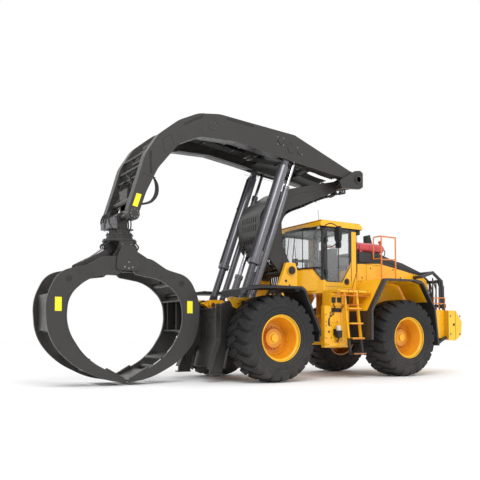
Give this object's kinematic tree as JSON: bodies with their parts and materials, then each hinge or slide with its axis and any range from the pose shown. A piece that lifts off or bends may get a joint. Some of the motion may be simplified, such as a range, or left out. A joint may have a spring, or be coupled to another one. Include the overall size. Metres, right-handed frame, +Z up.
{
  "type": "high-lift log loader",
  "caption": "Articulated yellow wheel loader with a backward-leaning lower arm over the cab, a charcoal gooseneck boom and a hanging rotating log grapple.",
  "frame": {"origin": "On the ground, below the middle of the machine's length and width.", "axes": "+X forward towards the grapple, +Y to the driver's left, +Z up."},
  "size_m": [9.9976, 3.058, 5.3687],
  "materials": {
    "body_yellow": "gloss",
    "rim_yellow": "satin",
    "weight_yellow": "gloss",
    "boom_charcoal": "satin",
    "hood_charcoal": "satin",
    "frame_charcoal": "satin",
    "barrel_grey": "satin",
    "chrome_rod": "polished",
    "pin_steel": "satin",
    "rod_dark": "satin",
    "fender_black": "satin",
    "tyre_rubber": "matte",
    "rail_orange": "gloss",
    "bottle_red": "gloss",
    "glass_tint": "clear",
    "seat_fabric": "matte",
    "trim_black": "matte",
    "engine_iron": "matte"
  },
  "bodies": {
    "rear_frame": {"rear_frame": "body_yellow", "rear_axle": "frame_charcoal", "cab_shell": "body_yellow", "cab_roof": "body_yellow", "cab_glass": "glass_tint", "operator_seat": "seat_fabric", "steering_column": "trim_black", "mirrors": "trim_black", "engine_hood": "body_yellow", "hood_top": "hood_charcoal", "engine_block": "engine_iron", "counterweight": "weight_yellow", "rear_guard": "hood_charcoal", "fire_bottle": "bottle_red", "rear_fenders": "body_yellow", "side_lockers": "body_yellow", "access_ladders": "rail_orange", "handrails": "rail_orange"},
    "cab_door": {"cab_door": "body_yellow", "cab_door_glass": "glass_tint"},
    "front_frame": {"front_frame": "body_yellow", "front_axle": "frame_charcoal", "log_guard": "boom_charcoal", "front_fenders": "fender_black"},
    "lower_arm": {"lower_arm": "boom_charcoal"},
    "elbow": {"elbow_pin": "pin_steel"},
    "boom": {"boom_beam_left": "boom_charcoal", "boom_beam_right": "boom_charcoal", "boom_cross_frame": "boom_charcoal"},
    "lift_pins": {"lift_foot_pins": "pin_steel"},
    "lift_rods": {"lift_rods": "rod_dark"},
    "lift_barrels": {"lift_barrels": "barrel_grey"},
    "assist_pins": {"assist_foot_pins": "pin_steel"},
    "assist_barrels": {"assist_barrels": "barrel_grey"},
    "assist_rods": {"assist_rods": "chrome_rod"},
    "arm_barrels": {"arm_barrels": "barrel_grey"},
    "arm_rods": {"arm_rods": "chrome_rod"},
    "tip_pin": {"tip_pin": "pin_steel"},
    "grapple_link": {"grapple_link": "boom_charcoal", "rotator": "boom_charcoal"},
    "grapple": {"grapple_head": "boom_charcoal"},
    "jaw_front": {"jaw_front": "boom_charcoal"},
    "jaw_rear": {"jaw_rear": "boom_charcoal"},
    "jaw_barrel_front": {"jaw_barrel_front": "barrel_grey"},
    "jaw_rod_front": {"jaw_rod_front": "chrome_rod"},
    "jaw_barrel_rear": {"jaw_barrel_rear": "barrel_grey"},
    "jaw_rod_rear": {"jaw_rod_rear": "chrome_rod"},
    "steering_barrel_left": {"steering_barrel_left": "barrel_grey"},
    "steering_rod_left": {"steering_rod_left": "chrome_rod"},
    "steering_barrel_right": {"steering_barrel_right": "barrel_grey"},
    "steering_rod_right": {"steering_rod_right": "chrome_rod"},
    "wheel_front_left": {"tyre_front_left": "tyre_rubber", "rim_front_left": "rim_yellow"},
    "wheel_front_right": {"tyre_front_right": "tyre_rubber", "rim_front_right": "rim_yellow"},
    "wheel_rear_left": {"tyre_rear_left": "tyre_rubber", "rim_rear_left": "rim_yellow"},
    "wheel_rear_right": {"tyre_rear_right": "tyre_rubber", "rim_rear_right": "rim_yellow"}
  },
  "joints": [
    {"name": "articulation", "type": "hinge", "parent": "rear_frame", "child": "front_frame", "pos_m": [-1.06961, 0, 1.05], "axis": [0, 0, 1], "range_deg": [-37, 37]},
    {"name": "spin_front_left", "type": "hinge", "parent": "front_frame", "child": "wheel_front_left", "pos_m": [0.70539, 1.139, 0.868], "axis": [0, 1, 0], "continuous": true},
    {"name": "spin_front_right", "type": "hinge", "parent": "front_frame", "child": "wheel_front_right", "pos_m": [0.70539, -1.139, 0.868], "axis": [0, 1, 0], "continuous": true},
    {"name": "spin_rear_left", "type": "hinge", "parent": "rear_frame", "child": "wheel_rear_left", "pos_m": [-2.84461, 1.139, 0.868], "axis": [0, 1, 0], "continuous": true},
    {"name": "spin_rear_right", "type": "hinge", "parent": "rear_frame", "child": "wheel_rear_right", "pos_m": [-2.84461, -1.139, 0.868], "axis": [0, 1, 0], "continuous": true},
    {"name": "door_swing", "type": "hinge", "parent": "rear_frame", "child": "cab_door", "pos_m": [-1.00961, 0.806, 2.65], "axis": [0, 0, -1], "range_deg": [0, 80]},
    {"name": "arm_swing", "type": "hinge", "parent": "front_frame", "child": "lower_arm", "pos_m": [-0.23961, 0, 2.33], "axis": [0, 1, 0], "range_deg": [-4, 30]},
    {"name": "elbow_follow", "type": "hinge", "parent": "lower_arm", "child": "elbow", "pos_m": [-1.99961, 0, 4.5], "axis": [0, -1, 0], "range_deg": [-2.31, 16.99]},
    {"name": "boom_lift", "type": "hinge", "parent": "elbow", "child": "boom", "pos_m": [-1.99961, 0, 4.5], "axis": [0, -1, 0], "range_deg": [0, 38]},
    {"name": "lift_foot", "type": "hinge", "parent": "front_frame", "child": "lift_pins", "pos_m": [1.09039, 0, 1.58], "axis": [0, 1, 0], "range_deg": [-2.89, 21.35]},
    {"name": "lift_lean", "type": "hinge", "parent": "lift_pins", "child": "lift_rods", "pos_m": [1.09039, 0, 1.58], "axis": [0, -1, 0], "range_deg": [-0.05, 2.83]},
    {"name": "lift_stroke", "type": "slide", "parent": "lift_rods", "child": "lift_barrels", "axis": [-0.3447, 0, 0.9387], "range_m": [-0.002, 1.2042]},
    {"name": "assist_foot", "type": "hinge", "parent": "front_frame", "child": "assist_pins", "pos_m": [0.86039, 0, 1.58], "axis": [0, 1, 0], "range_deg": [-2.92, 21.59]},
    {"name": "assist_lean", "type": "hinge", "parent": "assist_pins", "child": "assist_barrels", "pos_m": [0.86039, 0, 1.58], "axis": [0, -1, 0], "range_deg": [-0.05, 2.92]},
    {"name": "assist_stroke", "type": "slide", "parent": "assist_barrels", "child": "assist_rods", "axis": [-0.3456, 0, 0.9384], "range_m": [-0.002, 1.0799]},
    {"name": "arm_cylinder_lean", "type": "hinge", "parent": "front_frame", "child": "arm_barrels", "pos_m": [0.86039, 0, 1.35], "axis": [0, 1, 0], "range_deg": [-0.37, 2.45]},
    {"name": "arm_cylinder_stroke", "type": "slide", "parent": "arm_barrels", "child": "arm_rods", "axis": [-0.3448, 0, 0.9387], "range_m": [-0.3816, 0.0526]},
    {"name": "tip_pin_level", "type": "hinge", "parent": "boom", "child": "tip_pin", "pos_m": [3.48039, 0, 3.17], "axis": [0, -1, 0], "range_deg": [-1.79, 13.11]},
    {"name": "link_level", "type": "hinge", "parent": "tip_pin", "child": "grapple_link", "pos_m": [3.48039, 0, 3.17], "axis": [0, 1, 0], "range_deg": [-0.05, 38.05]},
    {"name": "rotator_turn", "type": "hinge", "parent": "grapple_link", "child": "grapple", "pos_m": [3.48039, 0, 2.712], "axis": [0, 0, 1], "continuous": true},
    {"name": "jaw_open", "type": "hinge", "parent": "grapple", "child": "jaw_front", "pos_m": [3.67039, 0, 2.24], "axis": [0, -1, 0], "range_deg": [0, 35]},
    {"name": "jaw_rear_open", "type": "hinge", "parent": "grapple", "child": "jaw_rear", "pos_m": [3.29039, 0, 2.24], "axis": [0, 1, 0], "range_deg": [-0.05, 35.05]},
    {"name": "jaw_cylinder_lean_front", "type": "hinge", "parent": "grapple", "child": "jaw_barrel_front", "pos_m": [3.68039, 0, 2.63], "axis": [0, -1, 0], "range_deg": [-0.05, 29.45]},
    {"name": "jaw_cylinder_stroke_front", "type": "slide", "parent": "jaw_barrel_front", "child": "jaw_rod_front", "axis": [0.8064, 0, -0.5914], "range_m": [-0.2231, 0.002]},
    {"name": "jaw_cylinder_lean_rear", "type": "hinge", "parent": "grapple", "child": "jaw_barrel_rear", "pos_m": [3.28039, 0, 2.63], "axis": [0, 1, 0], "range_deg": [-0.05, 29.45]},
    {"name": "jaw_cylinder_stroke_rear", "type": "slide", "parent": "jaw_barrel_rear", "child": "jaw_rod_rear", "axis": [-0.8064, 0, -0.5914], "range_m": [-0.2231, 0.002]},
    {"name": "steer_lean_left", "type": "hinge", "parent": "rear_frame", "child": "steering_barrel_left", "pos_m": [-1.74961, 0.33, 0.95], "axis": [0, 0, 1], "range_deg": [-13.04, 13.04]},
    {"name": "steer_stroke_left", "type": "slide", "parent": "steering_barrel_left", "child": "steering_rod_left", "axis": [0.9951, 0.0985, 0], "range_m": [-0.2519, 0.2519]},
    {"name": "steer_lean_right", "type": "hinge", "parent": "rear_frame", "child": "steering_barrel_right", "pos_m": [-1.74961, -0.33, 0.95], "axis": [0, 0, 1], "range_deg": [-13.04, 13.04]},
    {"name": "steer_stroke_right", "type": "slide", "parent": "steering_barrel_right", "child": "steering_rod_right", "axis": [0.9951, -0.0985, 0], "range_m": [-0.2519, 0.2519]}
  ],
  "couplings": [
    {"joint": "elbow_follow", "follows": "arm_swing", "ratio": 0.5646},
    {"joint": "lift_foot", "follows": "arm_swing", "ratio": 0.7099},
    {"joint": "lift_lean", "follows": "boom_lift", "ratio": 0.0732},
    {"joint": "lift_stroke", "follows": "boom_lift", "m_per_rad": 1.8127},
    {"joint": "assist_foot", "follows": "arm_swing", "ratio": 0.7181},
    {"joint": "assist_lean", "follows": "boom_lift", "ratio": 0.0754},
    {"joint": "assist_stroke", "follows": "boom_lift", "m_per_rad": 1.6252},
    {"joint": "arm_cylinder_lean", "follows": "arm_swing", "ratio": 0.08},
    {"joint": "arm_cylinder_stroke", "follows": "arm_swing", "m_per_rad": -0.725},
    {"joint": "tip_pin_level", "follows": "arm_swing", "ratio": 0.4354},
    {"joint": "link_level", "follows": "boom_lift", "ratio": 1},
    {"joint": "jaw_rear_open", "follows": "jaw_open", "ratio": 1},
    {"joint": "jaw_cylinder_lean_front", "follows": "jaw_open", "ratio": 0.84},
    {"joint": "jaw_cylinder_stroke_front", "follows": "jaw_open", "m_per_rad": -0.362},
    {"joint": "jaw_cylinder_lean_rear", "follows": "jaw_open", "ratio": 0.84},
    {"joint": "jaw_cylinder_stroke_rear", "follows": "jaw_open", "m_per_rad": -0.362},
    {"joint": "steer_lean_left", "follows": "articulation", "ratio": 0.351},
    {"joint": "steer_stroke_left", "follows": "articulation", "m_per_rad": -0.387},
    {"joint": "steer_lean_right", "follows": "articulation", "ratio": 0.351},
    {"joint": "steer_stroke_right", "follows": "articulation", "m_per_rad": 0.387}
  ]
}
